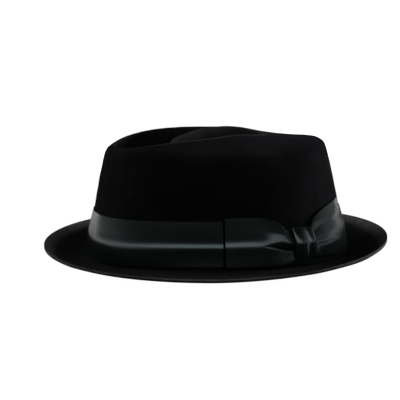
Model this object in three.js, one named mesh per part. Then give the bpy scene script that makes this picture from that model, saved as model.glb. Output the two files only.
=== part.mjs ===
// A felt hat with a tapered teardrop crown, a short curled brim, a ribbon band and a side bow.
// Millimetres, +Z up. The front points to -X, and the wearer's left side, with the bow, to -Y.
// Z = 0 is the surface that the hat rests on, and X = Y = 0 is the middle of the brim's outline.
import * as THREE from 'three';
import { mergeVertices } from 'three/addons/utils/BufferGeometryUtils.js';

// Felt body
const feltThickness = 2.0;
const headLength = 207.6;     // outside the crown, where its wall would meet the resting surface
const headWidth = 177.1;
const headSetback = 1.1;      // how far the crown sits behind the middle of the brim
const wallTaper = 0.1458;     // how far the wall leans in for each millimetre of height, at its foot
const wallBarrel = 0.0006;    // how the lean grows with height
const crownHeight = 101.5;    // the uncreased dome at its highest
const sideFall = 15.1;        // drop of the dome from its ridge to the side walls
const shoulderHeight = 78;    // height at which the wall's outline is taken for the shoulder
const shoulderDrop = 8.5;     // at the ends, the wall stops this far below the dome's own edge
const shoulderReach = 6.5;    // and the shoulder's round reaches this far in from the wall
const sideRollDrop = 14;      // the crown's sides roll over more slowly: their wall stops this much lower
const sideRollReach = 16;     // and their round reaches this much further in
const rollPowerFront = 5;     // how quickly that roll fades towards the front
const rollPowerBack = 1.4;    // and towards the back
const headlineArch = 8.3;     // the foot of the crown is this much higher at the sides than at the ends
const restSink = 1.0;         // the felt is pressed flat where it would reach this far below the surface
const breakRadius = 2.0;      // where the crown turns into the brim

// Brim
const brimLength = 273;
const brimWidth = 240.6;
const brimEdgeFront = 13.4;   // heights of the brim's upper face at its cut edge
const brimEdgeBack = 16.8;
const brimEdgeSide = 12.5;
const brimLift = 1.7;         // power of the rise from the crown to the edge
const edgeCurl = 1.0;         // extra lift of the outermost part
const edgeCurlStart = 0.68;   // share of the brim's reach where that lift begins

// Teardrop crease in the crown
const dentLength = 117.5;
const dentWidth = 85.6;
const dentDepth = 20;
const dentTaper = 1.1;        // how strongly the crease narrows to its point at the back
const dentFrontGap = 2.5;     // top of the shoulder to the crease's front end
const grooveAside = 0.56;     // the groove runs at this share of the crease's half width

// Ribbon and bow
const clearance = 0.3;
const ribbonThickness = 1.0;
const ribbonHeight = 37.3;
const ribbonArch = 6.0;       // the ribbon's top edge is this much higher at the sides
const ribbonLift = 2.3;       // gap from the brim's upper face to the ribbon's lower edge
const bowThickness = 1.0;
const bowRise = 2.4;          // the bow's front wing stands this much above the ribbon
const knotHeight = 23.6;
const knotFoot = 5.1;         // from the ribbon's lower edge to the knot's
const knotFold = 2.2;         // how far the knot's two folds stand out
const knotThickness = 1.2;
const tuckRoom = 0.5;         // room under the knot for the wings' gathered ends
const rearWingRise = 10.5;    // the rear wing's tip stands this much above the ribbon
const bowSeamTurn = -86.5;    // degrees round the crown from the back, negative on the wearer's left
const knotFrontTurn = -56.7;
const knotRearTurn = -45.4;
const rearWingEndTurn = -12.5;
const tuckTurn = 4.5;         // how far each wing runs in under the knot, in degrees
const frontGather = 1.2;      // depth of the gathers beside the knot
const rearGather = 1.6;

const segments = 72;
const degree = Math.PI / 180;

// The dome's ridge over the length of the crown top, uncreased: shares of the half length and height
const ridgeRows = [
  { along: -1.00, height: 0.835 },
  { along: -0.91, height: 0.886 },
  { along: -0.78, height: 0.939 },
  { along: -0.64, height: 0.975 },
  { along: -0.46, height: 0.997 },
  { along: -0.24, height: 1.000 },
  { along: 0.00, height: 0.995 },
  { along: 0.21, height: 0.991 },
  { along: 0.33, height: 0.971 },
  { along: 0.44, height: 0.951 },
  { along: 0.55, height: 0.937 },
  { along: 0.69, height: 0.926 },
  { along: 0.83, height: 0.919 },
  { along: 0.91, height: 0.911 },
  { along: 1.00, height: 0.880 },
];

// The crease along its length: groove and middle as shares of its depth, below the rim when negative
const creaseRows = [
  { along: 0.00, groove: 0.00, middle: 0.00 },
  { along: 0.02, groove: -0.08, middle: -0.08 },
  { along: 0.07, groove: -0.50, middle: -0.50 },
  { along: 0.14, groove: -0.88, middle: -0.90 },
  { along: 0.20, groove: -1.00, middle: -1.00 },
  { along: 0.27, groove: -0.98, middle: -0.92 },
  { along: 0.34, groove: -0.90, middle: -0.50 },
  { along: 0.41, groove: -0.74, middle: -0.13 },
  { along: 0.48, groove: -0.56, middle: 0.00 },
  { along: 0.56, groove: -0.40, middle: 0.13 },
  { along: 0.64, groove: -0.28, middle: 0.19 },
  { along: 0.74, groove: -0.18, middle: 0.20 },
  { along: 0.84, groove: -0.11, middle: 0.14 },
  { along: 0.93, groove: -0.04, middle: 0.05 },
  { along: 1.00, groove: 0.00, middle: 0.00 },
];

// Smooth curve through a table's rows: the value of one column at a place on its first column
function readTable(rows, column, along) {
  const last = rows.length - 1;
  if (along <= rows[0].along) return rows[0][column];
  if (along >= rows[last].along) return rows[last][column];
  let i = 0;
  while (rows[i + 1].along < along) i += 1;
  const span = rows[i + 1].along - rows[i].along;
  const slope = (k) => {
    const a = rows[Math.max(k - 1, 0)];
    const b = rows[Math.min(k + 1, last)];
    return (b[column] - a[column]) / (b.along - a.along);
  };
  const u = (along - rows[i].along) / span;
  const rise = u * u * (3 - 2 * u);
  const start = u * (1 - u) * (1 - u) * span * slope(i);
  const end = u * u * (u - 1) * span * slope(i + 1);
  return rows[i][column] * (1 - rise) + rows[i + 1][column] * rise + start + end;
}

// A point of the crown's wall at an angle and a height, set out from the felt by an offset
function wallPoint(turn, height, offset = 0) {
  const inset = wallTaper * height + wallBarrel * height * height;
  return new THREE.Vector3(
    headSetback + (headLength / 2 - inset + offset) * Math.cos(turn),
    (headWidth / 2 - inset + offset) * Math.sin(turn),
    height,
  );
}

const topHalfLength = wallPoint(0, shoulderHeight).x - headSetback;
const topHalfWidth = wallPoint(Math.PI / 2, shoulderHeight).y;

function domeHeight(x, y) {
  const ridge = crownHeight * readTable(ridgeRows, 'height', (x - headSetback) / topHalfLength);
  return ridge - sideFall * (y / topHalfWidth) ** 2;
}

// Half width of the crease at a share of its length: a round nose that narrows to a point
const teardrop = (along) => Math.sqrt(Math.max(along * (1 - along), 0)) * Math.exp(-dentTaper * along);
const widestTerm = 2 * dentTaper + 2;
const widestAlong = (widestTerm - Math.sqrt(widestTerm ** 2 - 8 * dentTaper)) / (4 * dentTaper);
const creaseHalfWidth = (along) => (dentWidth / 2) * teardrop(along) / teardrop(widestAlong);
const creaseFront = headSetback - topHalfLength + shoulderReach + dentFrontGap;

function creasePoint(turn) {
  const along = (1 + Math.cos(turn)) / 2;
  return new THREE.Vector2(
    creaseFront + dentLength * along,
    Math.sign(Math.sin(turn)) * creaseHalfWidth(along),
  );
}

// Height inside the crease: from the rim down to the groove, and up to the tongue in the middle
function creaseHeight(x, y) {
  const along = Math.min(Math.max((x - creaseFront) / dentLength, 0), 1);
  const halfWidth = creaseHalfWidth(along);
  const rim = domeHeight(x, halfWidth);
  if (halfWidth < 1e-6) return rim;
  const aside = Math.min(Math.abs(y) / halfWidth, 1);
  const groove = dentDepth * readTable(creaseRows, 'groove', along);
  const middle = dentDepth * readTable(creaseRows, 'middle', along);
  if (aside < grooveAside) {
    return rim + groove + (middle - groove) * (1 + Math.cos(Math.PI * aside / grooveAside)) / 2;
  }
  return rim + groove * (1 + Math.cos(Math.PI * (aside - grooveAside) / (1 - grooveAside))) / 2;
}

// Upper face of the felt at the crown's foot
const headlineHeight = (turn) =>
  feltThickness - restSink + (headlineArch + restSink) * Math.sin(turn) ** 2;

const ribbonTop = (turn) => feltThickness + ribbonHeight + ribbonArch * Math.sin(turn) ** 2;
const ribbonBottom = (turn) => Math.max(headlineHeight(turn), feltThickness) + ribbonLift;

function brimEdgeHeight(turn) {
  const end = Math.cos(turn) < 0 ? brimEdgeFront : brimEdgeBack;
  return brimEdgeSide + (end - brimEdgeSide) * Math.cos(turn) ** 2;
}

// How much of the sides' slow roll the crown has at an angle, from 0 at the ends to 1 at the sides
const sideRoll = (turn) =>
  Math.abs(Math.sin(turn)) ** (Math.cos(turn) < 0 ? rollPowerFront : rollPowerBack);

// One section of the felt's upper face, from the middle of the crown out to the brim's cut edge
function feltSection(turn) {
  const points = [];
  const crease = creasePoint(turn);
  const middle = creaseFront + dentLength / 2;
  const creaseRings = 8;
  for (let i = 1; i <= creaseRings; i += 1) {
    const x = middle + (crease.x - middle) * i / creaseRings;
    const y = crease.y * i / creaseRings;
    points.push(new THREE.Vector3(x, y, creaseHeight(x, y)));
  }
  // The wall's top end, and the point of the dome where the shoulder's round begins
  const nominal = wallPoint(turn, shoulderHeight);
  const wallTop = domeHeight(nominal.x, nominal.y) - shoulderDrop - sideRollDrop * sideRoll(turn);
  const reachIn = shoulderReach + sideRollReach * sideRoll(turn);
  const shoulder = wallPoint(turn, wallTop);
  const inner = wallPoint(turn, wallTop, -reachIn);
  inner.z = domeHeight(inner.x, inner.y);
  const domeRings = 3;
  for (let i = 1; i <= domeRings; i += 1) {
    const x = crease.x + (inner.x - crease.x) * i / domeRings;
    const y = crease.y + (inner.y - crease.y) * i / domeRings;
    points.push(new THREE.Vector3(x, y, domeHeight(x, y)));
  }
  const roundness = 0.6;
  const lower = wallPoint(turn, wallTop + roundness * (inner.z - wallTop));
  const upper = wallPoint(turn, wallTop, -reachIn * (1 - roundness));
  upper.z = inner.z + roundness * (domeHeight(upper.x, upper.y) - inner.z);
  const round = new THREE.CubicBezierCurve3(inner, upper, lower, shoulder);
  const roundRings = 5;
  for (let i = 1; i <= roundRings; i += 1) points.push(round.getPoint(i / roundRings));
  // The wall, with rings where the ribbon's edges lie
  const foot = headlineHeight(turn);
  points.push(wallPoint(turn, (wallTop + ribbonTop(turn)) / 2));
  points.push(wallPoint(turn, ribbonTop(turn)));
  points.push(wallPoint(turn, foot + breakRadius));
  points.push(wallPoint(turn, foot + breakRadius * (1 - Math.SQRT1_2), breakRadius * (1 - Math.SQRT1_2)));
  // The brim, from the foot of the crown to the cut edge
  const start = wallPoint(turn, foot, breakRadius);
  const edge = new THREE.Vector3(brimLength / 2 * Math.cos(turn), brimWidth / 2 * Math.sin(turn), 0);
  const rise = brimEdgeHeight(turn) - edgeCurl - foot;
  for (const reach of [0, 0.1, 0.2, 0.34, 0.5, 0.68, 0.85, 1]) {
    const curl = Math.max((reach - edgeCurlStart) / (1 - edgeCurlStart), 0) ** 2;
    const p = start.clone().lerp(edge, reach);
    p.z = foot + rise * reach ** brimLift + edgeCurl * curl;
    points.push(p);
  }
  return points;
}

// A mesh from a list of points and triangles, with its faces turned outwards
function closedMesh(points, triangles) {
  let volume = 0;
  for (const [a, b, c] of triangles) volume += points[a].dot(points[b].clone().cross(points[c])) / 6;
  const geometry = new THREE.BufferGeometry().setFromPoints(points);
  geometry.setIndex(triangles.flatMap(([a, b, c]) => (volume > 0 ? [a, b, c] : [a, c, b])));
  return geometry;
}

// The two triangles of each cell between neighbouring rows of a grid of point numbers
function gridTriangles(rows, around) {
  const triangles = [];
  for (let i = 0; i + 1 < rows.length; i += 1) {
    const count = rows[i].length;
    for (let j = 0; j < (around ? count : count - 1); j += 1) {
      const k = (j + 1) % count;
      triangles.push([rows[i][j], rows[i][k], rows[i + 1][k]], [rows[i][j], rows[i + 1][k], rows[i + 1][j]]);
    }
  }
  return triangles;
}

// Crown and brim in one blocked piece of felt, open underneath
function feltBody() {
  const sections = [];
  for (let j = 0; j < segments; j += 1) sections.push(feltSection(2 * Math.PI * j / segments));
  const rings = sections[0].length;
  const middle = creaseFront + dentLength / 2;
  const upper = [new THREE.Vector3(middle, 0, creaseHeight(middle, 0))];
  for (let i = 0; i < rings; i += 1) {
    for (let j = 0; j < segments; j += 1) upper.push(sections[j][i]);
  }
  const rows = [];
  for (let i = 0; i < rings; i += 1) rows.push(sections.map((_, j) => 1 + i * segments + j));
  const cap = sections.map((_, j) => [0, rows[0][(j + 1) % segments], rows[0][j]]);
  const face = cap.concat(gridTriangles(rows, true));
  // The lower face is the upper one moved inwards by the felt's thickness
  const sheet = new THREE.BufferGeometry().setFromPoints(upper);
  sheet.setIndex(face.flat());
  sheet.computeVertexNormals();
  const normals = sheet.getAttribute('normal');
  const inward = normals.getZ(0) > 0 ? -feltThickness : feltThickness;
  const lower = upper.map((p, i) => {
    const normal = new THREE.Vector3().fromBufferAttribute(normals, i);
    return p.clone().addScaledVector(normal, inward);
  });
  // The brim's edge is cut straight down, so both faces end on one outline
  for (const n of rows[rings - 1]) {
    lower[n].copy(upper[n]).setZ(upper[n].z - feltThickness / Math.abs(normals.getZ(n)));
  }
  // Felt that would sink below the resting surface is pressed flat on it, at its full thickness
  lower.forEach((p, i) => {
    if (p.z < 0) {
      upper[i] = upper[i].clone();
      upper[i].z -= p.z;
      p.z = 0;
    }
  });
  const shift = upper.length;
  const edge = gridTriangles([rows[rings - 1], rows[rings - 1].map((n) => n + shift)], true);
  const underside = face.map(([a, b, c]) => [a + shift, c + shift, b + shift]);
  return closedMesh(upper.concat(lower), face.concat(underside, edge));
}

// A closed sheet from a grid of outer points and the matching inner points
function sheetMesh(outerRows, innerRows, around) {
  const points = outerRows.flat().concat(innerRows.flat());
  const count = outerRows[0].length;
  const number = (i, j) => i * count + j;
  const outer = outerRows.map((row, i) => row.map((_, j) => number(i, j)));
  const shift = outerRows.length * count;
  const inner = outer.map((row) => row.map((n) => n + shift));
  const last = outer.length - 1;
  const triangles = gridTriangles(outer, around);
  triangles.push(...gridTriangles(inner, around).map(([a, b, c]) => [a, c, b]));
  triangles.push(...gridTriangles([inner[0], outer[0]], around));
  triangles.push(...gridTriangles([outer[last], inner[last]], around));
  if (!around) {
    const side = (rows, j) => rows.map((row) => row[j]);
    triangles.push(...gridTriangles([side(outer, 0), side(inner, 0)], false));
    triangles.push(...gridTriangles([side(inner, count - 1), side(outer, count - 1)], false));
  }
  return closedMesh(points, triangles);
}

const ribbonOffset = clearance + ribbonThickness;

function ribbonBand() {
  const row = (height, offset) => {
    const points = [];
    for (let j = 0; j < segments; j += 1) {
      const turn = 2 * Math.PI * j / segments;
      points.push(wallPoint(turn, height(turn), offset));
    }
    return points;
  };
  const outer = [row(ribbonBottom, ribbonOffset), row(ribbonTop, ribbonOffset)];
  const inner = [row(ribbonBottom, clearance), row(ribbonTop, clearance)];
  return sheetMesh(outer, inner, true);
}

// A piece of ribbon laid on the band: rows of sections along the crown, each from its low to its high edge
function bowPanel(sections, startTurn, endTurn, steps, across, thickness, relief) {
  const outer = [];
  const inner = [];
  for (let i = 0; i <= steps; i += 1) {
    const along = i / steps;
    const turn = (startTurn + (endTurn - startTurn) * along) * degree;
    const low = readTable(sections, 'low', along);
    const high = readTable(sections, 'high', along);
    const lean = readTable(sections, 'lean', along) * degree;
    const bulge = readTable(sections, 'bulge', along);
    const bottom = ribbonBottom(turn);
    const height = ribbonTop(turn) - bottom;
    const outerRow = [];
    const innerRow = [];
    for (let j = 0; j <= across; j += 1) {
      const v = j / across;
      const z = bottom + height * (low + (high - low) * v);
      const offset = ribbonOffset + clearance + bulge * Math.sin(Math.PI * v) + relief(along, v);
      const place = turn + lean * (v - 0.5);
      innerRow.push(wallPoint(place, z, offset));
      outerRow.push(wallPoint(place, z, offset + thickness));
    }
    outer.push(outerRow);
    inner.push(innerRow);
  }
  return sheetMesh(outer, inner, false);
}

const nominalHeight = ribbonHeight - ribbonLift;
const wingTop = 1 + bowRise / nominalHeight;
const knotLow = knotFoot / nominalHeight;
const knotHigh = knotLow + knotHeight / nominalHeight;

// Edges as shares of the ribbon's height, the lean of each section in degrees, and the bulge in millimetres
const frontWingRows = [
  { along: 0.00, low: 0.00, high: wingTop, lean: 0, bulge: 0.0 },
  { along: 0.35, low: 0.00, high: wingTop, lean: 0, bulge: 0.2 },
  { along: 0.55, low: 0.00, high: wingTop - 0.04, lean: 0, bulge: 0.7 },
  { along: 0.74, low: 0.03, high: 0.89, lean: 0, bulge: 1.9 },
  { along: 0.82, low: 0.09, high: 0.70, lean: 0, bulge: 1.0 },
  { along: 0.90, low: 0.16, high: 0.56, lean: 0, bulge: 0.0 },
  { along: 1.00, low: 0.20, high: 0.52, lean: 0, bulge: 0.0 },
];
const rearWingRows = [
  { along: 0.00, low: 0.22, high: 0.62, lean: 0, bulge: 0.0 },
  { along: 0.10, low: 0.17, high: 0.76, lean: 0, bulge: 0.0 },
  { along: 0.21, low: 0.14, high: 0.98, lean: -2, bulge: 0.4 },
  { along: 0.50, low: 0.11, high: 1 + 0.55 * rearWingRise / nominalHeight, lean: -6, bulge: 1.6 },
  { along: 1.00, low: 0.10, high: 1 + rearWingRise / nominalHeight, lean: -10, bulge: 0.4 },
];
const knotRows = [
  { along: 0.0, low: knotLow, high: knotHigh + 0.02, lean: -1, bulge: 0.2 },
  { along: 0.5, low: knotLow + 0.02, high: knotHigh, lean: 0, bulge: 0.5 },
  { along: 1.0, low: knotLow + 0.04, high: knotHigh, lean: -1.5, bulge: 0.2 },
];

// Gathers: waves across the ribbon that fade out away from the knot
const gather = (depth, waves, strength) => (along, v) =>
  depth * strength(along) * (1 - Math.cos(2 * Math.PI * waves * v)) / 2;
const gatherStart = 0.13;
const gatherEnd = 0.75;
const gatherPeak = ((gatherEnd - gatherStart) / 2) ** 2;
const nearStart = (along) =>
  Math.max(along - gatherStart, 0) * Math.max(gatherEnd - along, 0) / gatherPeak;
const nearEnd = (along) => nearStart(1 - along);

// Two folds side by side, with a crease between them, pulled in at the top and the bottom
function knotRelief(along, v) {
  const folds = Math.abs(Math.sin(2 * Math.PI * along)) ** 0.6;
  const ends = Math.sin(Math.PI * v) ** 0.4;
  return bowThickness + clearance + tuckRoom + knotFold * folds * ends;
}

const bowFrontWing = () => bowPanel(frontWingRows, bowSeamTurn, knotFrontTurn + tuckTurn, 14, 8,
  bowThickness, gather(frontGather, 2, nearEnd));
const bowRearWing = () => bowPanel(rearWingRows, knotRearTurn - tuckTurn, rearWingEndTurn, 12, 8,
  bowThickness, gather(rearGather, 2, nearStart));
const bowKnot = () => bowPanel(knotRows, knotFrontTurn, knotRearTurn, 12, 8, knotThickness, knotRelief);

const felt = { color: 0x0b0c0d, roughness: 0.95, metalness: 0 };
const satin = { color: 0x20272a, roughness: 0.5, metalness: 0 };

function namedMesh(name, geometry, finish) {
  const mesh = new THREE.Mesh(mergeVertices(geometry, 1e-4), new THREE.MeshStandardMaterial(finish));
  mesh.name = name;
  mesh.geometry.computeVertexNormals();
  return mesh;
}

const hat = new THREE.Group();
hat.name = 'felt_hat';
hat.add(namedMesh('felt_body', feltBody(), felt));
hat.add(namedMesh('ribbon_band', ribbonBand(), satin));
hat.add(namedMesh('bow_front_wing', bowFrontWing(), satin));
hat.add(namedMesh('bow_rear_wing', bowRearWing(), satin));
hat.add(namedMesh('bow_knot', bowKnot(), satin));

export default hat;
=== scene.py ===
# A felt hat with a teardrop crown, a short curled brim, a ribbon band and a side bow.
# Sizes are millimetres until the meshes are made, which are in metres in the CAD frame:
# the front points to -X, the bow is on -Y, and Z = 0 is the surface that the hat rests on.
import math

import bpy
import numpy as np
from mathutils import Matrix, Vector


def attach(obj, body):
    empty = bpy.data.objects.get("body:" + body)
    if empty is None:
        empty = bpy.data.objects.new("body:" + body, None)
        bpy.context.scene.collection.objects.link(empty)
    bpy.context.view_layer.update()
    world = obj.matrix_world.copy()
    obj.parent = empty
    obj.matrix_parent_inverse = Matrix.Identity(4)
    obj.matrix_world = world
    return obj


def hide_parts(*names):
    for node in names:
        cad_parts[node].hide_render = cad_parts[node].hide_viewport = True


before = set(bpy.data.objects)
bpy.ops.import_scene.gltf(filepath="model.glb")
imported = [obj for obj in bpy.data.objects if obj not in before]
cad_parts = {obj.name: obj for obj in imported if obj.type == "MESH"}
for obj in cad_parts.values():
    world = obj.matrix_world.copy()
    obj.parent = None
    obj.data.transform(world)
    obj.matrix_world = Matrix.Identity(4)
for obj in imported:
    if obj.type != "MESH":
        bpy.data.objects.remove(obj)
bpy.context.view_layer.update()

MM = 0.001

# Camera at the photograph's angle
CAMERA_EYE = (0.0, -0.87058, 0.23173)
CAMERA_AIM = (-0.0131559, 0.977563, -0.210780)
CAMERA_RIGHT = (0.999921, -0.003187, -0.012156)
CAMERA_LENS = 100.7
CAMERA_SENSOR = 36

# Felt body
FELT_THICKNESS = 2.0
HEAD_LENGTH = 207.6
HEAD_WIDTH = 177.1
HEAD_SETBACK = 1.1
WALL_TAPER = 0.1458
WALL_BARREL = 0.0006
CROWN_HEIGHT = 101.5
SIDE_FALL = 15.1
SHOULDER_HEIGHT = 78.0
SHOULDER_DROP = 8.5
SHOULDER_REACH = 6.5
SIDE_ROLL_DROP = 14.0
SIDE_ROLL_REACH = 16.0
ROLL_POWER_FRONT = 5.0
ROLL_POWER_BACK = 1.4
HEADLINE_ARCH = 8.3
REST_SINK = 1.0
BREAK_RADIUS = 2.0
RIM_SOFTNESS = 0.9

# Brim
BRIM_LENGTH = 273.0
BRIM_WIDTH = 240.6
BRIM_REACH = 31.0
BRIM_EDGE_FRONT = 13.4
BRIM_EDGE_BACK = 16.8
BRIM_EDGE_SIDE = 12.5
BRIM_LIFT = 1.7
EDGE_CURL = 1.0
EDGE_CURL_START = 0.68
EDGE_ROUND = 0.7

# Teardrop crease in the crown
DENT_LENGTH = 117.5
DENT_WIDTH = 85.6
DENT_DEPTH = 20.0
DENT_TAPER = 1.1
DENT_FRONT_GAP = 2.5
GROOVE_ASIDE = 0.56

# Unevenness of the felt, in rows of height, size and seed, and how it steadies and lies on the surface
FELT_UNEVENNESS = [(0.16, 46, 4), (0.07, 17, 9)]
EDGE_STEADY = 0.35
BAND_PRESS = 0.7
PRESS_SOFTNESS = 0.3
PRESS_REACH = 4

# Wear of the felt with painted light laid on it, from 0 to 1: real wear and a painted sheen on the brim and
# its edge, a painted highlight on the crease's rim, and painted light on the tongue
BRIM_WEAR_AND_PAINTED_LIGHT = 0.04
BRIM_EDGE_WEAR_AND_PAINTED_SHEEN = 0.96
UNDER_EDGE_WEAR_AND_PAINTED_SHEEN = 0.6
TONGUE_PAINTED_LIGHT = 0.34
RIM_PAINTED_HIGHLIGHT = [[0.12], [0.40], [0.12]]

# Ribbon and bow
CLEARANCE = 0.3
RIBBON_WIDTH = 35.0
RIBBON_HEIGHT = 37.3
RIBBON_ARCH = 6.0
RIBBON_LIFT = 2.3
RIBBON_EDGE = 0.65
RIBBON_BARREL = 0.85
RIBBON_FULLNESS = 0.40
FOLD_PLACE = 0.475
FOLD_SPREAD = 0.16
FOLD_DEPTH = 0.44
SLACK = 0.06
SLACK_SIZE = 60
SLACK_SEED = 21
SELVEDGE_RISE = 0.02
SELVEDGE_PLACE = 0.025
SELVEDGE_SPREAD = 0.018
BOW_PRESS = 0.6
BOW_BASE = 1.6
BOW_THICKNESS = 0.7
BOW_RISE = 2.4
REAR_WING_RISE = 10.5
REAR_PUFF_SKEW = 0.7
KNOT_BASE = 4.0
KNOT_THICKNESS = 0.9
PINCH_DEPTH = 8.5
PINCH_TIGHTNESS = 0.8
PINCH_TURN = -52.0
PINCH_SPREAD = 13.0
BOW_SEAM_TURN = -86.5
SEAM_GAP = 0.85
SEAM_UNDERLAP = 0.5
KNOT_FRONT_TURN = -56.7
KNOT_REAR_TURN = -45.4
REAR_WING_END_TURN = -12.5
TUCK_TURN = 4.5

# Mesh
SEGMENTS = 336
CREASE_RINGS = 38
FELT_SHARP = 80
RIBBON_SHARP = 30

# Colours and grain
FELT_DARK = (0.0034, 0.0036, 0.0039)
FELT_LIGHT = (0.0052, 0.0055, 0.0060)
FELT_LINT = (0.0150, 0.0157, 0.0170)
FELT_WORN_AND_PAINTED_LIGHT = (0.0640, 0.0650, 0.0662)
FELT_SHEEN_TINT = (0.62, 0.66, 0.72, 1)
MOTTLE_SCALE = 45
SCUFF_SCALE = 120
NAP_SCALE = 900
FIBRE_SCALE = 2600
RIBBON_DARK = (0.0020, 0.0025, 0.0026)
RIBBON_LIGHT = (0.0055, 0.0068, 0.0070)
RIBBON_TINT = (0.82, 1.0, 1.0, 1)
RIB_PITCH = 0.00095
WARP_PITCH = 0.00042

# Studio: strength of the low light band and of the lit floor that the ribbon mirrors as a stripe,
# and how much of both is kept from lighting the felt
BAND_LIGHT = 2.3
LEFT_BAND_DROP = 0.075
FLOOR_GLOW = 1.5
DIFFUSE_CUT = 0.7
FLOOR_SIZE = 40.0
FLOOR_DROP = 0.0002
FLOOR_RING_X = 0.1
KEY_FROM = (-0.80, 0.42, 0.38)
OVERHEAD_FROM = (0.35, -0.20, 1.0)
RIGHT_BOX_FROM = (1.1, 0.40, 0.22)
RIGHT_BOX_AIM = (0, 0, 0.06)

RIDGE_ALONG = [-1, -0.91, -0.78, -0.64, -0.46, -0.24, 0, 0.21, 0.33, 0.44, 0.55, 0.69, 0.83, 0.91, 1]
RIDGE_HEIGHT = [0.835, 0.886, 0.939, 0.975, 0.997, 1, 0.995, 0.991, 0.971, 0.951, 0.937, 0.926, 0.919,
                0.911, 0.880]
CREASE_ALONG = [0, 0.02, 0.07, 0.14, 0.20, 0.27, 0.34, 0.41, 0.48, 0.56, 0.64, 0.74, 0.84, 0.93, 1]
CREASE_GROOVE = [0, -0.08, -0.50, -0.88, -1.00, -0.98, -0.90, -0.74, -0.56, -0.40, -0.28, -0.18, -0.11,
                 -0.04, 0]
CREASE_MIDDLE = [0, -0.08, -0.50, -0.90, -1.00, -0.92, -0.50, -0.13, 0, 0.13, 0.19, 0.20, 0.14, 0.05, 0]


def read_table(alongs, values, along):
    """Smooth curve through a table's rows, at every place in along."""
    xs, ys = np.asarray(alongs, float), np.asarray(values, float)
    slopes = np.empty_like(ys)
    slopes[1:-1] = (ys[2:] - ys[:-2]) / (xs[2:] - xs[:-2])
    slopes[0] = (ys[1] - ys[0]) / (xs[1] - xs[0])
    slopes[-1] = (ys[-1] - ys[-2]) / (xs[-1] - xs[-2])
    x = np.clip(along, xs[0], xs[-1])
    i = np.clip(np.searchsorted(xs, x, side="right") - 1, 0, len(xs) - 2)
    span = xs[i + 1] - xs[i]
    u = (x - xs[i]) / span
    rise = u * u * (3 - 2 * u)
    start = u * (1 - u) ** 2 * span * slopes[i]
    end = u * u * (u - 1) * span * slopes[i + 1]
    return ys[i] * (1 - rise) + ys[i + 1] * rise + start + end


def smooth_step(low, high, value):
    """From 0 at low to 1 at high; with low above high it falls instead."""
    u = np.clip((value - low) / (high - low), 0, 1)
    return u * u * (3 - 2 * u)


def bell(value, middle, spread):
    """A soft hump with a height of 1 at its middle."""
    return np.exp(-(((value - middle) / spread) ** 2))


def wall_point(turn, height, offset=0.0):
    """A point of the crown's wall at an angle and a height, set out from the felt by an offset."""
    inset = WALL_TAPER * height + WALL_BARREL * height * height
    x = HEAD_SETBACK + (HEAD_LENGTH / 2 - inset + offset) * np.cos(turn)
    y = (HEAD_WIDTH / 2 - inset + offset) * np.sin(turn)
    return np.stack(np.broadcast_arrays(x, y, height), -1).astype(float)


TOP_HALF_LENGTH = wall_point(0.0, SHOULDER_HEIGHT)[0] - HEAD_SETBACK
TOP_HALF_WIDTH = wall_point(math.pi / 2, SHOULDER_HEIGHT)[1]
CREASE_FRONT = HEAD_SETBACK - TOP_HALF_LENGTH + SHOULDER_REACH + DENT_FRONT_GAP


def dome_height(x, y):
    ridge = CROWN_HEIGHT * read_table(RIDGE_ALONG, RIDGE_HEIGHT, (x - HEAD_SETBACK) / TOP_HALF_LENGTH)
    return ridge - SIDE_FALL * (y / TOP_HALF_WIDTH) ** 2


def teardrop(along):
    return np.sqrt(np.maximum(along * (1 - along), 0)) * np.exp(-DENT_TAPER * along)


WIDEST_TERM = 2 * DENT_TAPER + 2
WIDEST_ALONG = (WIDEST_TERM - math.sqrt(WIDEST_TERM**2 - 8 * DENT_TAPER)) / (4 * DENT_TAPER)


def crease_half_width(along):
    return DENT_WIDTH / 2 * teardrop(along) / teardrop(WIDEST_ALONG)


def crown_height(x, y):
    """Height of the crown's top: the dome, and inside the teardrop its grooves and tongue."""
    along = np.clip((x - CREASE_FRONT) / DENT_LENGTH, 0, 1)
    half = np.maximum(crease_half_width(along), 1e-6)
    aside = np.abs(y) / half
    rim = dome_height(x, half)
    groove = DENT_DEPTH * read_table(CREASE_ALONG, CREASE_GROOVE, along)
    middle = DENT_DEPTH * read_table(CREASE_ALONG, CREASE_MIDDLE, along)
    inner = rim + groove + (middle - groove) * (1 + np.cos(np.pi * aside / GROOVE_ASIDE)) / 2
    outer = rim + groove * (1 + np.cos(np.pi * (aside - GROOVE_ASIDE) / (1 - GROOVE_ASIDE))) / 2
    inside = np.where(aside < GROOVE_ASIDE, inner, outer)
    return np.where((aside < 1) & (along > 0) & (along < 1), inside, dome_height(x, y))


def soft_crown_height(x, y):
    """The crown's top with every rim and groove rounded, as thick felt rounds them."""
    steps = np.linspace(-2.4, 2.4, 9) * RIM_SOFTNESS
    weights = np.exp(-0.5 * (steps / RIM_SOFTNESS) ** 2)
    weights /= weights.sum()
    total = 0.0
    for dx, wx in zip(steps, weights):
        for dy, wy in zip(steps, weights):
            total = total + wx * wy * crown_height(x + dx, y + dy)
    return total


def headline_height(turn):
    return FELT_THICKNESS - REST_SINK + (HEADLINE_ARCH + REST_SINK) * np.sin(turn) ** 2


def ribbon_top(turn):
    return FELT_THICKNESS + RIBBON_HEIGHT + RIBBON_ARCH * np.sin(turn) ** 2


def ribbon_bottom(turn):
    return np.maximum(headline_height(turn), FELT_THICKNESS) + RIBBON_LIFT


def brim_edge_height(turn):
    end = np.where(np.cos(turn) < 0, BRIM_EDGE_FRONT, BRIM_EDGE_BACK)
    return BRIM_EDGE_SIDE + (end - BRIM_EDGE_SIDE) * np.cos(turn) ** 2


def side_roll(turn):
    power = np.where(np.cos(turn) < 0, ROLL_POWER_FRONT, ROLL_POWER_BACK)
    return np.abs(np.sin(turn)) ** power


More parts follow.
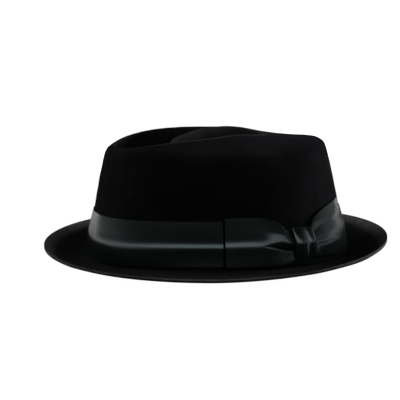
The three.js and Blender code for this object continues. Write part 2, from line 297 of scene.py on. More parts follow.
def waviness(points, size, seed):
    """A slow, even unevenness from -1 to 1, from fixed waves in several directions."""
    draw = np.random.default_rng(seed)
    total = np.zeros(points.shape[:-1])
    waves = 9
    for _ in range(waves):
        direction = draw.normal(size=3)
        direction *= draw.uniform(0.6, 1.5) * 2 * np.pi / size / np.linalg.norm(direction)
        total += np.sin(points @ direction + draw.uniform(0, 2 * np.pi))
    return total / math.sqrt(waves)


def blend_points(a, b, share):
    return a + (b - a) * share


def felt_rings(turn):
    """Rings of the felt's upper face, from the middle of the crown to the brim's outline. Each comes
    with how far it lies out on the brim, from 0 at the crown's foot to 1 at the edge."""
    rings = []
    along = (1 + np.cos(turn)) / 2
    crease_x = CREASE_FRONT + DENT_LENGTH * along
    crease_y = np.sign(np.sin(turn)) * crease_half_width(along)
    middle = CREASE_FRONT + DENT_LENGTH / 2
    for i in range(1, CREASE_RINGS + 1):
        share = i / CREASE_RINGS
        x, y = middle + (crease_x - middle) * share, crease_y * share
        rings.append((np.stack([x, y, soft_crown_height(x, y)], -1), 0.0))
    nominal = wall_point(turn, SHOULDER_HEIGHT)
    wall_top = dome_height(nominal[:, 0], nominal[:, 1]) - SHOULDER_DROP
    wall_top = wall_top - SIDE_ROLL_DROP * side_roll(turn)
    reach_in = SHOULDER_REACH + SIDE_ROLL_REACH * side_roll(turn)
    shoulder = wall_point(turn, wall_top)
    inner = wall_point(turn, wall_top, -reach_in)
    dome_rings = 14
    for i in range(1, dome_rings + 1):
        share = i / dome_rings
        x, y = crease_x + (inner[:, 0] - crease_x) * share, crease_y + (inner[:, 1] - crease_y) * share
        rings.append((np.stack([x, y, soft_crown_height(x, y)], -1), 0.0))
    inner[:, 2] = soft_crown_height(inner[:, 0], inner[:, 1])
    roundness = 0.6
    lower = wall_point(turn, wall_top + roundness * (inner[:, 2] - wall_top))
    upper = wall_point(turn, wall_top, -reach_in * (1 - roundness))
    upper[:, 2] = inner[:, 2] + roundness * (soft_crown_height(upper[:, 0], upper[:, 1]) - inner[:, 2])
    round_rings = 20
    for i in range(1, round_rings + 1):
        u = i / round_rings
        bezier = (1 - u) ** 3 * inner + 3 * u * (1 - u) ** 2 * upper
        rings.append((bezier + 3 * u * u * (1 - u) * lower + u**3 * shoulder, 0.0))
    foot = headline_height(turn)
    wall_rings = 30
    for i in range(1, wall_rings + 1):
        height = blend_points(wall_top, foot + BREAK_RADIUS, i / wall_rings)
        rings.append((wall_point(turn, height), 0.0))
    break_rings = 7
    for i in range(1, break_rings + 1):
        bend = math.pi / 2 * i / break_rings
        height = foot + BREAK_RADIUS * (1 - math.sin(bend))
        rings.append((wall_point(turn, height, BREAK_RADIUS * (1 - math.cos(bend))), 0.0))
    start = wall_point(turn, foot, BREAK_RADIUS)
    edge = np.stack([BRIM_LENGTH / 2 * np.cos(turn), BRIM_WIDTH / 2 * np.sin(turn), 0 * turn], -1)
    rise = brim_edge_height(turn) - EDGE_CURL - foot
    brim_rings = 30
    last_reach = 1 - EDGE_ROUND / BRIM_REACH
    for i in range(1, brim_rings + 2):
        reach = last_reach * i / brim_rings if i <= brim_rings else 1.0
        curl = max((reach - EDGE_CURL_START) / (1 - EDGE_CURL_START), 0) ** 2
        p = blend_points(start, edge, reach)
        p[:, 2] = foot + rise * reach**BRIM_LIFT + EDGE_CURL * curl
        rings.append((p, reach))
    return rings


def ring_normals(grid, centre):
    """Normals of a grid of rings around a centre point, pointing up and out."""
    inward = np.concatenate([np.broadcast_to(centre, grid[:1].shape), grid[:-1]])
    outward = np.concatenate([grid[1:], grid[-1:]])
    around = np.roll(grid, -1, axis=1) - np.roll(grid, 1, axis=1)
    normals = np.cross(outward - inward, around)
    normals /= np.maximum(np.linalg.norm(normals, axis=-1, keepdims=True), 1e-12)
    return normals * np.sign(normals[0, 0, 2])


def mesh_object(name, points, faces, material, sharp, uvs=None, wear_and_painted_light=None):
    """A mesh object in metres from points in millimetres, with its faces turned outwards."""
    corners = points[np.array([f[:3] for f in faces])]
    volume = np.einsum("ij,ij->i", corners[:, 0], np.cross(corners[:, 1], corners[:, 2])).sum()
    if volume < 0:
        faces = [tuple(reversed(f)) for f in faces]
    mesh = bpy.data.meshes.new(name)
    mesh.from_pydata((points * MM).tolist(), [], faces)
    if uvs is not None:
        layer = mesh.uv_layers.new(name="ribbon_uv")
        order = np.empty(len(mesh.loops), int)
        mesh.loops.foreach_get("vertex_index", order)
        layer.data.foreach_set("uv", uvs[order].astype(np.float32).ravel())
    if wear_and_painted_light is not None:
        layer = mesh.attributes.new("wear_and_painted_light", "FLOAT", "POINT")
        layer.data.foreach_set("value", wear_and_painted_light.astype(np.float32))
    mesh.shade_smooth()
    mesh.set_sharp_from_angle(angle=math.radians(sharp))
    mesh.validate()
    mesh.update()
    mesh.materials.append(material)
    piece = bpy.data.objects.new(name, mesh)
    bpy.context.scene.collection.objects.link(piece)
    return piece


def grid_faces(rows, around):
    """Four-sided faces between neighbouring rows of a grid of point numbers."""
    faces = []
    count = rows.shape[1]
    for i in range(len(rows) - 1):
        for j in range(count if around else count - 1):
            k = (j + 1) % count
            faces.append((rows[i, j], rows[i, k], rows[i + 1, k], rows[i + 1, j]))
    return faces


def cut_edge(upper_ring, lower_ring, outline_top, outline_low):
    """The brim's cut edge: rings between its two faces, rounded onto its outline."""
    steps = 5
    chain = []
    down_top = outline_top - np.array([0, 0, EDGE_ROUND])
    up_low = outline_low + np.array([0, 0, EDGE_ROUND])
    for i in range(1, steps + 1):
        u = i / steps
        chain.append((1 - u) ** 2 * upper_ring + 2 * u * (1 - u) * outline_top + u * u * down_top)
    for i in range(steps):
        u = i / steps
        chain.append((1 - u) ** 2 * up_low + 2 * u * (1 - u) * outline_low + u * u * lower_ring)
    return chain


def felt_wear_and_painted_light(upper, reach, edge_rings, low_reach):
    """Lighter felt, ring by ring: real wear with a painted sheen on the brim towards its edge, a painted
    highlight on the crease's rim and painted light on its tongue.
    """
    count = len(upper)
    wear_and_painted_light = np.zeros((count + edge_rings + len(low_reach), upper.shape[1]))
    # The brim lightens towards its edge with real wear and a painted sheen
    brim = BRIM_WEAR_AND_PAINTED_LIGHT * smooth_step(0.3, 0.7, reach) + BRIM_EDGE_WEAR_AND_PAINTED_SHEEN * smooth_step(0.66, 0.97, reach)
    wear_and_painted_light[:count] = brim[:, None]
    along = (upper[:CREASE_RINGS, :, 0] - CREASE_FRONT) / DENT_LENGTH
    half = np.maximum(crease_half_width(np.clip(along, 0, 1)), 1e-6)
    aside = np.abs(upper[:CREASE_RINGS, :, 1]) / half
    # Painted light: the tongue is lightened where light falls on it, not by wear
    tongue = smooth_step(0.30, 0.42, along) * smooth_step(1.0, 0.75, along) * smooth_step(0.55, 0.12, aside)
    wear_and_painted_light[:CREASE_RINGS] = TONGUE_PAINTED_LIGHT * tongue
    # Painted highlight: a light line along the crease's rim
    rim_ring = CREASE_RINGS - 1
    wear_and_painted_light[rim_ring - 1 : rim_ring + 2] = np.array(RIM_PAINTED_HIGHLIGHT)
    # The cut edge and the underside's edge: real wear with a painted sheen
    wear_and_painted_light[count : count + edge_rings] = 1.0
    wear_and_painted_light[count + edge_rings :] = UNDER_EDGE_WEAR_AND_PAINTED_SHEEN * smooth_step(0.8, 1.0, low_reach)[:, None]
    return wear_and_painted_light


def felt_body(material):
    turn = np.arange(SEGMENTS) * 2 * np.pi / SEGMENTS
    rings = felt_rings(turn)
    reach = np.array([r for _, r in rings])
    upper = np.stack([p for p, _ in rings])
    middle = CREASE_FRONT + DENT_LENGTH / 2
    centre = np.array([middle, 0.0, float(soft_crown_height(np.array(middle), np.array(0.0)))])
    normals = ring_normals(upper, centre)
    # Blocked felt is never quite even, but steadier at the brim's edge and pressed under the band
    uneven = sum(height * waviness(upper, size, seed) for height, size, seed in FELT_UNEVENNESS)
    keep = smooth_step(1.0, 0.8, reach)[:, None]
    above_band = upper[..., 2] - ribbon_top(turn)
    under_band = smooth_step(5, -1, above_band) * smooth_step(0.1, 0, reach)[:, None]
    even = (EDGE_STEADY + (1 - EDGE_STEADY) * keep) * (1 - BAND_PRESS * under_band)
    upper = upper + normals * (uneven * even)[..., None]
    # The lower face lies along the normals under the crown, and straight below the brim
    down = smooth_step(0.0, 0.5, reach)[:, None, None]
    steepest = 0.3
    drop = np.zeros_like(normals)
    drop[..., 2] = 1 / np.maximum(normals[..., 2], steepest)
    lower = upper - FELT_THICKNESS * ((1 - down) * normals + down * drop)
    # Felt that would sink below the surface is pressed flat onto it
    depth = -lower[..., 2]
    lift = 0.5 * (depth + np.sqrt(depth**2 + PRESS_SOFTNESS**2)) * (lower[..., 2] < PRESS_REACH)
    upper[..., 2] += lift
    lower[..., 2] += lift
    # The last ring is the brim's outline, onto which the cut edge is rounded
    chain = cut_edge(upper[-2], lower[-2], upper[-1], lower[-1])
    upper, lower = upper[:-1], lower[:-1]
    # The hidden lower face has half as many rings
    kept = list(range(0, len(lower), 2))
    if kept[-1] != len(lower) - 1:
        kept.append(len(lower) - 1)
    low_centre = centre - np.array([0, 0, FELT_THICKNESS])
    grid = np.concatenate([upper, np.stack(chain), lower[kept][::-1]])
    points = np.concatenate([grid.reshape(-1, 3), centre[None], low_centre[None]])
    rows = np.arange(grid.shape[0] * SEGMENTS).reshape(grid.shape[0], SEGMENTS)
    faces = grid_faces(rows, True)
    top, low = len(points) - 2, len(points) - 1
    for j in range(SEGMENTS):
        k = (j + 1) % SEGMENTS
        faces.append((top, rows[0, k], rows[0, j]))
        faces.append((low, rows[-1, j], rows[-1, k]))
    wear_and_painted_light = felt_wear_and_painted_light(upper, reach[: len(upper)], len(chain), reach[: len(lower)][kept][::-1])
    wear_and_painted_light = np.concatenate([wear_and_painted_light.ravel(), [0, 0]])
    return mesh_object("hat_felt", points, faces, material, FELT_SHARP, wear_and_painted_light=wear_and_painted_light)


def sheet_object(name, outer, inner, uvs, material):
    """A closed sheet of ribbon from matching grids of outer and inner points, with round edges."""
    half = (outer + inner) / 2
    roundness = 0.4

    def bulge(edge, next_in):
        outwards = half[edge] - half[next_in]
        outwards /= np.maximum(np.linalg.norm(outwards, axis=-1, keepdims=True), 1e-9)
        thickness = np.linalg.norm(outer[edge] - inner[edge], axis=-1, keepdims=True)
        return half[edge] + outwards * thickness * roundness

    first, last = bulge(0, 1)[None], bulge(-1, -2)[None]
    loop = np.concatenate([first, outer, last, inner[::-1]])
    uv_loop = np.concatenate([uvs[:1], uvs, uvs[-1:], uvs[::-1]])
    rows = np.arange(loop.shape[0] * loop.shape[1]).reshape(loop.shape[:2])
    points, uv_points = loop.reshape(-1, 3), uv_loop.reshape(-1, 2)
    faces = grid_faces(np.concatenate([rows, rows[:1]]), False)
    # Caps on the two ends
    count = outer.shape[0]
    for j in (0, -1):
        front = [rows[1 + i, j] for i in range(count)]
        back = [rows[count + 2 + i, j] for i in range(count)][::-1]
        ends = [rows[0, j], rows[count + 1, j]]
        cap = [(front[i], front[i + 1], back[i + 1], back[i]) for i in range(count - 1)]
        cap.append((ends[0], front[0], back[0]))
        cap.append((front[-1], ends[1], back[-1]))
        faces.extend(cap if j == 0 else [tuple(reversed(f)) for f in cap])
    return mesh_object(name, points, faces, material, RIBBON_SHARP, uvs=uv_points)


def run_length(points):
    """Length along each row of a grid, up to every point."""
    steps = np.linalg.norm(np.diff(points, axis=1), axis=-1)
    return np.concatenate([np.zeros((len(points), 1)), np.cumsum(steps, axis=1)], axis=1)


def ribbon_profile(v):
    """How far the ribbon stands out over its height: tight at both edges, with a soft fold between."""
    edges = np.sin(np.pi * np.clip(v, 0, 1))
    full = smooth_step(0, FOLD_PLACE, v) * smooth_step(1, FOLD_PLACE, v)
    return RIBBON_BARREL * edges + RIBBON_FULLNESS * full + FOLD_DEPTH * bell(v, FOLD_PLACE, FOLD_SPREAD)


def ribbon_band(material):
    """The band starts under the bow's front wing, runs round and ends just short of the wing's edge."""
    first = math.radians(BOW_SEAM_TURN + SEAM_UNDERLAP)
    last = math.radians(BOW_SEAM_TURN + 360 - SEAM_GAP)
    turn = np.linspace(first, last, SEGMENTS + 1)
    steps = 30
    v = np.linspace(0, 1, steps + 1)[:, None]
    # Its upper edge is drawn down where the knot holds it, and it lies flat where the bow covers it
    degrees = np.degrees(np.where(turn > math.pi, turn - 2 * math.pi, turn))
    held = np.exp(-(((degrees - PINCH_TURN) / PINCH_SPREAD) ** 4))
    covered = smooth_step(PINCH_TURN - 4, PINCH_TURN + 6, degrees)
    covered = covered * smooth_step(REAR_WING_END_TURN + 6, REAR_WING_END_TURN + 1, degrees)
    bottom, top = ribbon_bottom(turn)[None], (ribbon_top(turn) - PINCH_DEPTH * held)[None]
    height = bottom + (top - bottom) * v
    barrel = ribbon_profile(v) * (1 - PINCH_TIGHTNESS * held) * (1 - BOW_PRESS * covered)
    drawn_up = wall_point(turn[None], height) * np.array([1, 1, 3.0])
    slack = SLACK * waviness(drawn_up, SLACK_SIZE, SLACK_SEED) * np.sin(np.pi * v)
    selvedge = SELVEDGE_RISE * (bell(v, SELVEDGE_PLACE, SELVEDGE_SPREAD)
                                + bell(v, 1 - SELVEDGE_PLACE, SELVEDGE_SPREAD))
    outer = wall_point(turn[None], height, RIBBON_EDGE + barrel + slack + selvedge)
    inner = wall_point(turn[None], height, CLEARANCE)
    u = run_length(outer)[steps // 2]
    uvs = np.stack(np.broadcast_arrays(u[None] * MM, height * MM), -1)
    return sheet_object("hat_ribbon_band", outer, inner, uvs, material)


def bow_panel(name, table, start, end, steps, across, relief, base, thickness, material):
    """A piece of ribbon laid on the band. The table's rows are along, low, high and lean."""
    table = np.array(table, float)
    along = np.linspace(0, 1, steps + 1)[None]
    v = np.linspace(0, 1, across + 1)[:, None]
    turn = np.radians(start + (end - start) * along)
    low = read_table(table[:, 0], table[:, 1], along)
    high = read_table(table[:, 0], table[:, 2], along)
    lean = np.radians(read_table(table[:, 0], table[:, 3], along))
    bottom = ribbon_bottom(turn)
    share = low + (high - low) * v
    height = bottom + (ribbon_top(turn) - bottom) * share
    offset = base + relief(along, v, share)
    place = turn + lean * (v - 0.5)
    inner = wall_point(place, height, offset)
    outer = wall_point(place, height, offset + thickness)
    u = run_length(outer)
    uvs = np.stack(np.broadcast_arrays(u * MM, height * MM), -1)
    return sheet_object(name, outer, inner, uvs, material)


# Shapes of the bow's pieces, in rows of place along, lower edge, upper edge and lean in degrees.
# The edges are shares of the band's height.
WING_TOP = 1 + BOW_RISE / RIBBON_WIDTH
FRONT_WING_TABLE = [
    (0.00, 0.00, WING_TOP, 0),
    (0.35, 0.00, WING_TOP, 0),
    (0.55, 0.00, WING_TOP - 0.04, 0),
    (0.74, 0.03, 0.89, 0),
    (0.82, 0.09, 0.70, 0),
    (0.90, 0.16, 0.56, 0),
    (1.00, 0.20, 0.52, 0),
]
REAR_WING_TABLE = [
    (0.00, 0.22, 0.62, 0),
    (0.10, 0.17, 0.76, 0),
    (0.21, 0.14, 0.98, -2),
    (0.50, 0.11, 1 + 0.55 * REAR_WING_RISE / RIBBON_WIDTH, -6),
    (1.00, 0.10, 1 + REAR_WING_RISE / RIBBON_WIDTH, -10),
]
KNOT_TABLE = [
    (0.0, 0.146, 0.845, -1.0),
    (0.5, 0.165, 0.830, 0.4),
    (1.0, 0.186, 0.825, -1.5),
]


def front_wing_relief(along, v, share):
    """The band's profile, gathering into one round roll that dives under the knot, above a deep pleat."""
    fold_height, fold_drop = 0.455, 0.12
    roll_base, roll_rise, roll_roundness = 0.25, 2.3, 0.62
    under_rise, under_power = 0.5, 1.5
    ripple_rise, ripples, ripple_slant = 0.05, 4.2, 0.25
    near = smooth_step(0.42, 0.80, along)
    tuck = smooth_step(0.93, 0.79, along)
    fold = fold_height - fold_drop * smooth_step(0.45, 0.85, along)
    high = read_table(*zip(*[(row[0], row[2]) for row in FRONT_WING_TABLE]), along)
    across = np.clip((share - fold) / np.maximum(high - fold, 0.02), 0, 1)
    roll = (roll_base + roll_rise * tuck) * np.sin(np.pi * across) ** roll_roundness
    below = smooth_step(fold + 0.01, fold - 0.03, share)
    under = under_rise * tuck * np.clip(share / fold, 0, 1) ** under_power * below
    wave = np.sin(2 * np.pi * (share * ripples + ripple_slant * along))
    ripple = ripple_rise * wave * smooth_step(0, 0.2, across) * tuck
    return ribbon_profile(v) * (1 - near) + near * (roll + under + ripple)


def rear_wing_relief(along, v, share):
    """A rounded flap with a few soft gathers that fan out from the knot and fade."""
    gather_rise, gather_count, gather_shift = 0.45, 2.5, 0.15
    puff_rise, puff_along, puff_across = 1.5, 0.7, 0.8
    crest_rise, crest_place, crest_spread = 0.35, 0.36, 0.16
    soft_rise, soft_count, soft_slant = 0.07, 3.3, 0.8
    out = smooth_step(0.06, 0.34, along)
    near = smooth_step(0.62, 0.16, along)
    gathers = gather_rise * near * np.abs(np.sin(np.pi * (gather_count * v + gather_shift))) ** 0.8
    puff = puff_rise * np.sin(np.pi * np.clip(along, 0, 1)) ** puff_along
    puff = puff * np.sin(np.pi * v**REAR_PUFF_SKEW) ** puff_across
    crest = crest_rise * bell(v, crest_place, crest_spread)
    soft = soft_rise * np.sin(2 * np.pi * (soft_count * v + soft_slant * along))
    return out * (gathers + puff + crest + soft)


def knot_relief(along, v, share):
    """Two soft folds side by side with a narrow crease between them, leaning out at the top."""
    crease = 0.56
    fold_rise, second_fold = 1.9, 0.9
    lean_rise, lean_top = 1.5, 0.62
    strand_rise, strands_across, strand_slant = 0.04, 3.1, 0.3
    left = np.clip(along / crease, 0, 1)
    right = np.clip((along - crease) / (1 - crease), 0, 1)
    first, second = np.sin(np.pi * left) ** 0.5, second_fold * np.sin(np.pi * right) ** 0.55
    rolls = np.where(along < crease, first, second)
    body = np.clip(np.sin(np.pi * v), 0, 1) ** 0.45
    lean = lean_rise * smooth_step(0.0, lean_top, v)
    strands = strand_rise * np.sin(2 * np.pi * (strands_across * along + strand_slant * v))
    return ((fold_rise + lean) * rolls + strands * rolls) * body


def new_material(name):
    material = bpy.data.materials.new(name)
    material.use_nodes = True
    tree = material.node_tree
    shader = tree.nodes["Principled BSDF"]
    return material, tree, shader


def node(tree, kind, **settings):
    made = tree.nodes.new(kind)
    for key, value in settings.items():
        if hasattr(made, key):
            setattr(made, key, value)
        else:
            made.inputs[key].default_value = value
    return made


def noise(tree, coordinates, scale, detail=3.0, roughness=0.55, distortion=0.0):
    made = node(tree, "ShaderNodeTexNoise", Scale=scale, Detail=detail, Roughness=roughness,
                Distortion=distortion)
    tree.links.new(coordinates, made.inputs["Vector"])
    return made.outputs["Fac"]


def ramp(tree, value, stops):
    """A ramp of grey values; each stop is a place and a grey."""
    made = tree.nodes.new("ShaderNodeValToRGB")
    elements = made.color_ramp.elements
    for i, (place, grey) in enumerate(stops):
        element = elements[i] if i < 2 else elements.new(place)
        element.position = place
        element.color = (grey, grey, grey, 1)
    tree.links.new(value, made.inputs["Fac"])
    return made.outputs["Color"]


def maths(tree, operation, a, b=None, c=None):
    made = tree.nodes.new("ShaderNodeMath")
    made.operation = operation
    for socket, value in zip(made.inputs, (a, b, c)):
        if value is None:
            continue
        if isinstance(value, (int, float)):
            socket.default_value = value
        else:
            tree.links.new(value, socket)
    return made.outputs[0]


def mixed(tree, share, a, b):
    """One of two colours, or a blend of them; each is a colour or another node's output."""
    made = tree.nodes.new("ShaderNodeMix")
    made.data_type = "RGBA"
    for socket, value in ((made.inputs["Factor"], share), (made.inputs[6], a), (made.inputs[7], b)):
        if isinstance(value, tuple):
            socket.default_value = (*value, 1)
        else:
            tree.links.new(value, socket)
    return made.outputs[2]


def bump(tree, height, distance, strength, normal=None):
    made = tree.nodes.new("ShaderNodeBump")
    made.inputs["Strength"].default_value = strength
    made.inputs["Distance"].default_value = distance
    tree.links.new(height, made.inputs["Height"])
    if normal is not None:
        tree.links.new(normal, made.inputs["Normal"])
    return made.outputs["Normal"]


def felt_material():
    """Black felt: a slow mottle, a short nap with a little lint, and lighter where it is worn and where
    painted light lies on it: a sheen on the brim's edge, a highlight on the crease's rim and light on the
    tongue.
    """
    material, tree, shader = new_material("hat_felt")
    place = tree.nodes.new("ShaderNodeTexCoord").outputs["Object"]
    mottle = noise(tree, place, MOTTLE_SCALE, 4.0, 0.6)
    nap = noise(tree, place, NAP_SCALE, 5.0, 0.7, 0.6)
    fibres = noise(tree, place, FIBRE_SCALE, 2.0, 0.6, 2.5)
    black = mixed(tree, ramp(tree, mottle, [(0.35, 0.0), (0.68, 1.0)]), FELT_DARK, FELT_LIGHT)
    lint = maths(tree, "MULTIPLY", ramp(tree, fibres, [(0.62, 0.0), (0.78, 1.0)]),
                 ramp(tree, nap, [(0.52, 0.0), (0.66, 1.0)]))
    lint_share = 0.5
    with_lint = mixed(tree, maths(tree, "MULTIPLY", lint, lint_share), black, FELT_LINT)
    # The wear attribute carries real wear and painted light: a sheen on the brim's edge, a highlight on the
    # crease's rim and light on the tongue
    worn_and_painted_light = tree.nodes.new("ShaderNodeAttribute")
    worn_and_painted_light.attribute_name = "wear_and_painted_light"
    patchy = ramp(tree, noise(tree, place, SCUFF_SCALE, 5.0, 0.65), [(0.3, 0.45), (0.7, 1.0)])
    scuffed_and_painted_light = maths(tree, "MULTIPLY", worn_and_painted_light.outputs["Fac"], patchy)
    worn_and_painted_light_share = 0.75
    colour = mixed(tree, maths(tree, "MULTIPLY", scuffed_and_painted_light, worn_and_painted_light_share), with_lint, FELT_WORN_AND_PAINTED_LIGHT)
    tree.links.new(colour, shader.inputs["Base Color"])
    rough = ramp(tree, mottle, [(0.3, 0.86), (0.7, 0.98)])
    tree.links.new(rough, shader.inputs["Roughness"])
    shader.inputs["Specular IOR Level"].default_value = 0.0
    shader.inputs["Sheen Weight"].default_value = 0.007
    shader.inputs["Sheen Roughness"].default_value = 0.40
    shader.inputs["Sheen Tint"].default_value = FELT_SHEEN_TINT
    soft = bump(tree, mottle, distance=0.0012, strength=0.25)
    napped = bump(tree, nap, distance=0.00045, strength=0.55, normal=soft)
    haired = bump(tree, fibres, distance=0.00012, strength=0.5, normal=napped)
    tree.links.new(haired, shader.inputs["Normal"])
    return material


def ribbon_material():
    """Satin-faced ribbon with a fine rib across its width. Its UVs are metres along and up."""
    material, tree, shader = new_material("hat_ribbon")
    uv = node(tree, "ShaderNodeUVMap", uv_map="ribbon_uv").outputs["UV"]
    parts = tree.nodes.new("ShaderNodeSeparateXYZ")
    tree.links.new(uv, parts.inputs[0])
    along, up = parts.outputs["X"], parts.outputs["Y"]

    def stretched(x_scale, y_scale):
        made = tree.nodes.new("ShaderNodeCombineXYZ")
        tree.links.new(maths(tree, "MULTIPLY", along, x_scale), made.inputs["X"])
        tree.links.new(maths(tree, "MULTIPLY", up, y_scale), made.inputs["Y"])
        return made.outputs[0]

    # Threads: ribs that wander a little, and the warp between them
    wander = maths(tree, "MULTIPLY", noise(tree, stretched(120, 500), 1.0, 2.0), 0.9)
    rib_phase = maths(tree, "MULTIPLY_ADD", along, 2 * math.pi / RIB_PITCH, wander)
    rib = maths(tree, "MULTIPLY_ADD", maths(tree, "SINE", rib_phase), 0.5, 0.5)
    warp_phase = maths(tree, "MULTIPLY", up, 2 * math.pi / WARP_PITCH)
    warp = maths(tree, "MULTIPLY_ADD", maths(tree, "SINE", warp_phase), 0.5, 0.5)
    streak = noise(tree, stretched(9, 900), 1.0, 4.0, 0.6)
    patch = noise(tree, stretched(40, 60), 1.0, 3.0, 0.5)
    base = mixed(tree, ramp(tree, streak, [(0.3, 0.0), (0.72, 1.0)]), RIBBON_DARK, RIBBON_LIGHT)
    between_ribs = tuple(c * 0.6 for c in RIBBON_DARK)
    rib_share = 0.35
    shaded = mixed(tree, maths(tree, "MULTIPLY", rib, rib_share), base, between_ribs)
    tree.links.new(shaded, shader.inputs["Base Color"])
    smoothest, patch_roughness = 0.14, 0.06
    rough = maths(tree, "MULTIPLY_ADD", patch, patch_roughness, smoothest)
    tree.links.new(rough, shader.inputs["Roughness"])
    shader.inputs["Specular IOR Level"].default_value = 0.55
    shader.inputs["Specular Tint"].default_value = RIBBON_TINT
    shader.inputs["Anisotropic"].default_value = 0.55
    tangent = node(tree, "ShaderNodeTangent", direction_type="UV_MAP", uv_map="ribbon_uv")
    tree.links.new(tangent.outputs[0], shader.inputs["Tangent"])
    threads = bump(tree, warp, distance=0.00001, strength=0.15)
    ribbed = bump(tree, rib, distance=0.00007, strength=0.55, normal=threads)
    uneven = bump(tree, patch, distance=0.0006, strength=0.12, normal=ribbed)
    tree.links.new(uneven, shader.inputs["Normal"])
    return material


def less_for_felt(tree, rays, strength):
    """Cuts a strength for the rays that light matt surfaces, so that the black felt stays black."""
    kept = maths(tree, "MULTIPLY_ADD", rays.outputs["Is Diffuse Ray"], -DIFFUSE_CUT, 1.0)
    return maths(tree, "MULTIPLY", strength, kept)


def floor_material():
    """Plain white to the camera. To every other ray it is dark, with a lit ring that the ribbon mirrors."""
    material, tree, shader = new_material("studio_floor")
    place = tree.nodes.new("ShaderNodeTexCoord").outputs["Object"]
    shade = ramp(tree, noise(tree, place, 3, 2.0), [(0.3, 0.015), (0.7, 0.02)])
    tree.links.new(shade, shader.inputs["Base Color"])
    shader.inputs["Roughness"].default_value = 0.95
    shader.inputs["Specular IOR Level"].default_value = 0.1
    shader.inputs["Emission Color"].default_value = (1, 1, 1, 1)
    parts = tree.nodes.new("ShaderNodeSeparateXYZ")
    tree.links.new(place, parts.inputs[0])
    # The ring starts a little way off the hat, nearer on its left and behind than in front
    across = maths(tree, "SUBTRACT", parts.outputs["X"], FLOOR_RING_X)
    deep = parts.outputs["Y"]
    deep_squared = maths(tree, "MULTIPLY", deep, deep)
    reach = maths(tree, "SQRT", maths(tree, "MULTIPLY_ADD", across, across, deep_squared))
    half_reach = maths(tree, "MULTIPLY", reach, 0.5)
    near_ring = ramp(tree, half_reach, [(0.165, 0.0), (0.22, 1.0), (0.30, 1.0), (0.38, 0.1)])
    far_ring = ramp(tree, half_reach, [(0.30, 0.0), (0.42, 0.8)])
    behind = ramp(tree, maths(tree, "MULTIPLY_ADD", deep, 0.5, 0.5), [(0.35, 0.0), (0.47, 1.0)])
    in_front = maths(tree, "SUBTRACT", 1.0, behind)
    ring = maths(tree, "ADD", maths(tree, "MULTIPLY", near_ring, behind),
                 maths(tree, "MULTIPLY", far_ring, in_front))
    rays = tree.nodes.new("ShaderNodeLightPath")
    lit = less_for_felt(tree, rays, maths(tree, "MULTIPLY", ring, FLOOR_GLOW))
    glow = maths(tree, "MAXIMUM", rays.outputs["Is Camera Ray"], lit)
    tree.links.new(glow, shader.inputs["Emission Strength"])
    return material


def add_camera():
    data = bpy.data.cameras.new("camera")
    data.lens = CAMERA_LENS
    data.sensor_width = CAMERA_SENSOR
    camera = bpy.data.objects.new("camera", data)
    aim = Vector(CAMERA_AIM).normalized()
    right = Vector(CAMERA_RIGHT)
    right = (right - aim * right.dot(aim)).normalized()
    up = right.cross(aim)
    axes = Matrix((right, up, -aim)).transposed()
    camera.matrix_world = Matrix.Translation(Vector(CAMERA_EYE)) @ axes.to_4x4()
    bpy.context.scene.collection.objects.link(camera)
    bpy.context.scene.camera = camera


def add_lamp(data, place, aim):
    """A lamp that lights the felt and isn't mirrored by the ribbon."""
    lamp = bpy.data.objects.new(data.name, data)
    lamp.location = place
    lamp.rotation_euler = (Vector(aim) - Vector(place)).to_track_quat("-Z", "Y").to_euler()
    lamp.visible_camera = False
    lamp.visible_glossy = False
    bpy.context.scene.collection.objects.link(lamp)


def add_sun(name, place, strength, spread):
    data = bpy.data.lights.new(name, "SUN")
    data.energy = strength
    data.angle = math.radians(spread)
    add_lamp(data, place, (0, 0, 0))


def add_box(name, place, aim, watts, width, height):
    data = bpy.data.lights.new(name, "AREA")
    data.energy = watts
    data.shape = "RECTANGLE"
    data.size = width
    data.size_y = height
    add_lamp(data, place, aim)


def add_floor():
    half = FLOOR_SIZE / 2
    mesh = bpy.data.meshes.new("floor")
    corners = [(-half, -half, 0), (half, -half, 0), (half, half, 0), (-half, half, 0)]
    mesh.from_pydata(corners, [], [(0, 1, 2, 3)])
    mesh.materials.append(floor_material())
    floor = bpy.data.objects.new("floor", mesh)
    floor.location = (0, 0, -FLOOR_DROP)
    bpy.context.scene.collection.objects.link(floor)


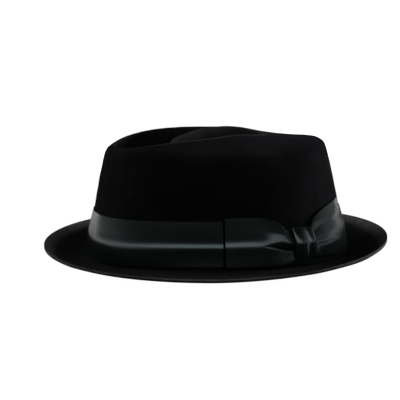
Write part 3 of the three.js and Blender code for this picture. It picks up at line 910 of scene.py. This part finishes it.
def add_world():
    """Plain white to the camera. The hat mirrors a shaped room instead: a low band of light, lower on
    the left, with a soft wash above it, and on the right a broad dim wall."""
    world = bpy.data.worlds.new("studio")
    world.use_nodes = True
    tree = world.node_tree
    backdrop = tree.nodes["Background"]
    backdrop.inputs["Color"].default_value = (1, 1, 1, 1)
    mirrored = tree.nodes.new("ShaderNodeBackground")
    sides = tree.nodes.new("ShaderNodeSeparateXYZ")
    tree.links.new(tree.nodes.new("ShaderNodeTexCoord").outputs["Generated"], sides.inputs[0])
    # Directions from 0 to 1: front to back of the hat, bow side to far side, and down to up
    along, back, up = (maths(tree, "MULTIPLY_ADD", sides.outputs[k], 0.5, 0.5) for k in range(3))
    left = ramp(tree, along, [(0.03, 1.0), (0.20, 0.0)])
    lowered = maths(tree, "MULTIPLY_ADD", left, LEFT_BAND_DROP, up)
    band = ramp(tree, lowered, [(0.578, 1.0), (0.622, 0.0)])
    far_left = maths(tree, "MULTIPLY", ramp(tree, along, [(0.20, 1.0), (0.35, 0.0)]),
                     ramp(tree, back, [(0.60, 0.0), (0.68, 1.0)]))
    band = maths(tree, "MULTIPLY", band, maths(tree, "SUBTRACT", 1.0, far_left))
    wash = ramp(tree, up, [(0.50, 0.28), (0.54, 0.25), (0.60, 0.10), (0.66, 0.06), (1.0, 0.04)])
    room = maths(tree, "MULTIPLY_ADD", band, BAND_LIGHT, wash)
    right = maths(tree, "MULTIPLY", ramp(tree, along, [(0.50, 0.0), (0.70, 1.0)]),
                  ramp(tree, back, [(0.10, 0.0), (0.18, 1.0)]))
    wall = maths(tree, "MULTIPLY", ramp(tree, up, [(0.50, 0.42), (0.66, 0.38), (0.76, 0.05)]),
                 ramp(tree, back, [(0.42, 0.42), (0.60, 1.0)]))
    shaped = maths(tree, "MULTIPLY_ADD", maths(tree, "SUBTRACT", wall, room), right, room)
    rays = tree.nodes.new("ShaderNodeLightPath")
    tree.links.new(less_for_felt(tree, rays, shaped), mirrored.inputs["Strength"])
    pick = tree.nodes.new("ShaderNodeMixShader")
    tree.links.new(rays.outputs["Is Camera Ray"], pick.inputs[0])
    tree.links.new(mirrored.outputs[0], pick.inputs[1])
    tree.links.new(backdrop.outputs[0], pick.inputs[2])
    tree.links.new(pick.outputs[0], tree.nodes["World Output"].inputs["Surface"])
    bpy.context.scene.world = world


def add_studio():
    add_floor()
    add_world()
    bpy.context.scene.view_settings.view_transform = "Standard"
    bpy.context.scene.view_settings.look = "None"
    add_sun("key", KEY_FROM, strength=3.8, spread=30)
    add_sun("overhead", OVERHEAD_FROM, strength=1.2, spread=40)
    add_box("right_box", RIGHT_BOX_FROM, RIGHT_BOX_AIM, watts=27.0, width=0.5, height=0.4)


add_camera()
felt = felt_material()
ribbon = ribbon_material()
felt_piece = felt_body(felt)
band = ribbon_band(ribbon)
front_wing = bow_panel("hat_bow_front_wing", FRONT_WING_TABLE, BOW_SEAM_TURN, KNOT_FRONT_TURN + TUCK_TURN,
                       120, 84, front_wing_relief, BOW_BASE, BOW_THICKNESS, ribbon)
rear_wing = bow_panel("hat_bow_rear_wing", REAR_WING_TABLE, KNOT_REAR_TURN - TUCK_TURN,
                      REAR_WING_END_TURN, 110, 84, rear_wing_relief, BOW_BASE, BOW_THICKNESS, ribbon)
knot = bow_panel("hat_bow_knot", KNOT_TABLE, KNOT_FRONT_TURN, KNOT_REAR_TURN, 72, 64, knot_relief,
                 KNOT_BASE, KNOT_THICKNESS, ribbon)

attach(felt_piece, "root")
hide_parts("felt_body")
for piece, node_name in (
    (band, "ribbon_band"),
    (front_wing, "bow_front_wing"),
    (rear_wing, "bow_rear_wing"),
    (knot, "bow_knot"),
):
    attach(piece, "root")
    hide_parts(node_name)

add_studio()
